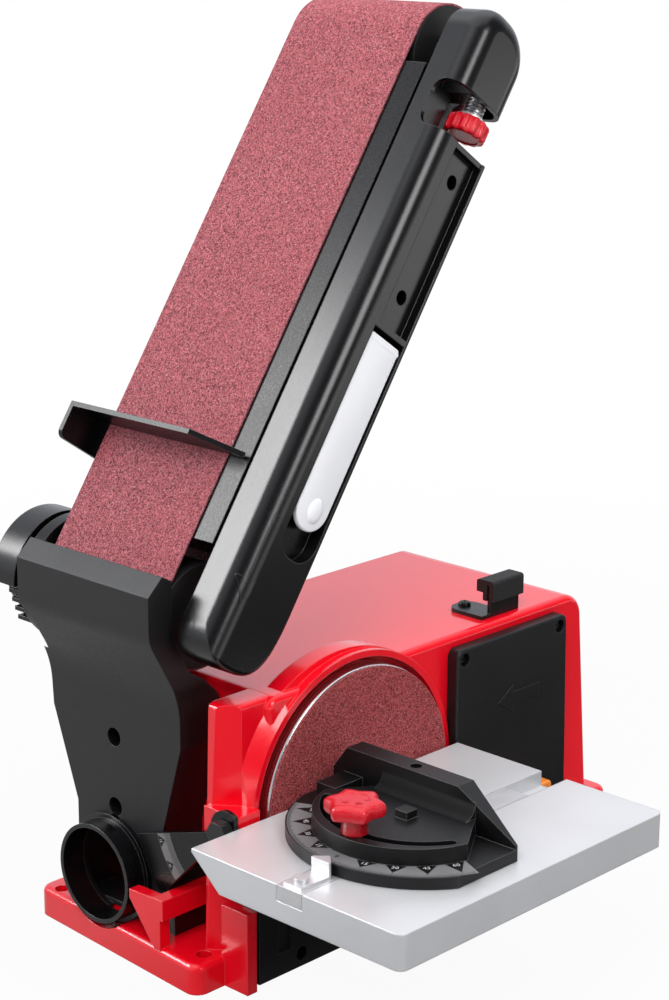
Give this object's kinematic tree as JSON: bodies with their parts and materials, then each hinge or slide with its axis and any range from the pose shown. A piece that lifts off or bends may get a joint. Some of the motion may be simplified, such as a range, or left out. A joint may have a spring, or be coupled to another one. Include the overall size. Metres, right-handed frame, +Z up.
{
  "type": "belt and disc sander",
  "caption": "Bench sander with a tilting abrasive belt arm, a sanding disc with tilting table and mitre gauge, dust hood and hose port on a cast base.",
  "frame": {"origin": "underside of the base at the centre of its four bolt holes", "axes": "+X along the housing to the switch end, -Y the way the disc faces, +Z up"},
  "size_m": [0.393, 0.3495, 0.5329],
  "materials": {
    "casting_red": "gloss enamel on a casting",
    "cover_black": "satin moulded plastic",
    "hood_black": "fine grain moulded plastic",
    "steel_black": "black coated sheet steel",
    "arm_black": "black enamel on a casting",
    "gauge_black": "satin black casting",
    "rubber_black": "matt",
    "belt_grit": "red-brown abrasive grit on cloth",
    "disc_grit": "dark red-brown abrasive grit",
    "table_light": "light grey coated casting",
    "alloy": "turned",
    "bright_steel": "zinc plated",
    "shaft_steel": "ground",
    "lever_white": "light grey, satin",
    "knob_red": "gloss",
    "knob_black": "satin",
    "switch_orange": "satin",
    "button_green": "satin",
    "button_red": "satin",
    "core_steel": "varnished laminations",
    "copper": "enamelled copper wire",
    "pulley_black": "moulded"
  },
  "bodies": {
    "base": {"housing": "casting_red", "bottom_plate": "steel_black", "casing_screws": "steel_black", "disc_guard": "hood_black", "switch_panel": "hood_black", "switch_body": "switch_orange", "motor_stator": "core_steel", "stator_windings": "copper", "motor_front_bell": "alloy", "motor_rear_bell": "alloy", "motor_bearings": "shaft_steel", "motor_tie_bolts": "bright_steel", "run_capacitor": "knob_black", "cord_gland": "hood_black", "drive_bracket": "arm_black", "drive_cover": "cover_black", "drive_belt": "rubber_black", "shaft_bearings": "shaft_steel", "dust_hood": "hood_black", "dust_port": "cover_black", "dust_duct": "hood_black", "arm_rest": "steel_black", "rest_pad": "rubber_black"},
    "motor": {"motor_shaft": "shaft_steel", "rotor_core": "core_steel", "cooling_fan": "pulley_black", "disc_plate": "alloy", "disc_bolt": "bright_steel", "disc_paper": "disc_grit", "drive_pulley": "pulley_black"},
    "drum": {"drive_shaft": "shaft_steel", "drive_drum": "rubber_black", "driven_pulley": "pulley_black"},
    "arm": {"arm_frame": "arm_black", "guide_rods": "shaft_steel", "front_bearing": "shaft_steel", "platen": "arm_black", "sanding_belt": "belt_grit", "arm_cover": "cover_black", "arm_screws": "steel_black", "lever_pin": "bright_steel", "work_stop": "steel_black", "tension_spring": "shaft_steel"},
    "lever": {"tension_lever": "lever_white"},
    "carriage": {"idler_carriage": "arm_black", "idler_axle": "shaft_steel"},
    "idler": {"idler_drum": "pulley_black", "idler_bearings": "shaft_steel"},
    "tracker": {"tracking_knob": "knob_red", "tracking_washer": "bright_steel"},
    "table": {"disc_table": "table_light", "tilt_sector": "steel_black"},
    "table_lock": {"table_knob": "knob_black"},
    "gauge_slide": {"gauge_bar": "bright_steel", "gauge_pointer": "bright_steel", "pointer_screw": "bright_steel"},
    "gauge": {"gauge_head": "gauge_black"},
    "gauge_lock": {"gauge_knob": "knob_red"},
    "start": {"start_button": "button_green"},
    "stop": {"stop_button": "button_red"}
  },
  "joints": [
    {"name": "motor_spin", "type": "hinge", "parent": "base", "child": "motor", "pos_m": [-0.069, -0.086, 0.093], "axis": [0, 1, 0], "continuous": true},
    {"name": "drum_spin", "type": "hinge", "parent": "base", "child": "drum", "pos_m": [-0.142, 0, 0.2035], "axis": [0, 1, 0], "continuous": true},
    {"name": "arm_tilt", "type": "hinge", "parent": "base", "child": "arm", "pos_m": [-0.142, 0, 0.2035], "axis": [0, -1, 0], "range_deg": [-54.8, 34.2]},
    {"name": "tension_lever", "type": "hinge", "parent": "arm", "child": "lever", "pos_m": [-0.04245, -0.0734, 0.34998], "axis": [-0.8271, 0, 0.5621], "range_deg": [0, 100]},
    {"name": "tension_slide", "type": "slide", "parent": "arm", "child": "carriage", "axis": [0.5621, 0, 0.8271], "range_m": [-0.006, 0], "deforming": ["tension_spring"]},
    {"name": "idler_spin", "type": "hinge", "parent": "carriage", "child": "idler", "pos_m": [0.06041, 0, 0.50134], "axis": [0, 1, 0], "continuous": true},
    {"name": "tracking_turn", "type": "hinge", "parent": "carriage", "child": "tracker", "pos_m": [0.03557, -0.064, 0.45945], "axis": [0.5621, 0, 0.8271], "range_deg": [-180, 180]},
    {"name": "table_tilt", "type": "hinge", "parent": "base", "child": "table", "pos_m": [-0.069, -0.08, 0.0975], "axis": [1, 0, 0], "range_deg": [0, 45]},
    {"name": "table_lock_turn", "type": "hinge", "parent": "table", "child": "table_lock", "pos_m": [-0.172, -0.08, 0.0975], "axis": [1, 0, 0], "range_deg": [-180, 180]},
    {"name": "gauge_slide", "type": "slide", "parent": "table", "child": "gauge_slide", "axis": [1, 0, 0], "range_m": [-0.06, 0.06]},
    {"name": "gauge_swivel", "type": "hinge", "parent": "gauge_slide", "child": "gauge", "pos_m": [-0.104, -0.1625, 0.1013], "axis": [0, 0, 1], "range_deg": [-60, 60]},
    {"name": "gauge_lock_turn", "type": "hinge", "parent": "gauge_slide", "child": "gauge_lock", "pos_m": [-0.156, -0.1625, 0.1013], "axis": [0, 0, 1], "range_deg": [-180, 180]},
    {"name": "start_press", "type": "slide", "parent": "base", "child": "start", "axis": [0, 1, 0], "range_m": [0, 0.003], "stiffness_N_per_m": 400},
    {"name": "stop_press", "type": "slide", "parent": "base", "child": "stop", "axis": [0, 1, 0], "range_m": [0, 0.003], "stiffness_N_per_m": 400}
  ],
  "couplings": [
    {"joint": "drum_spin", "follows": "motor_spin", "ratio": 0.5198},
    {"joint": "idler_spin", "follows": "motor_spin", "ratio": 0.5198},
    {"joint": "tension_slide", "follows": "tension_lever", "m_per_rad": -0.0034}
  ]
}
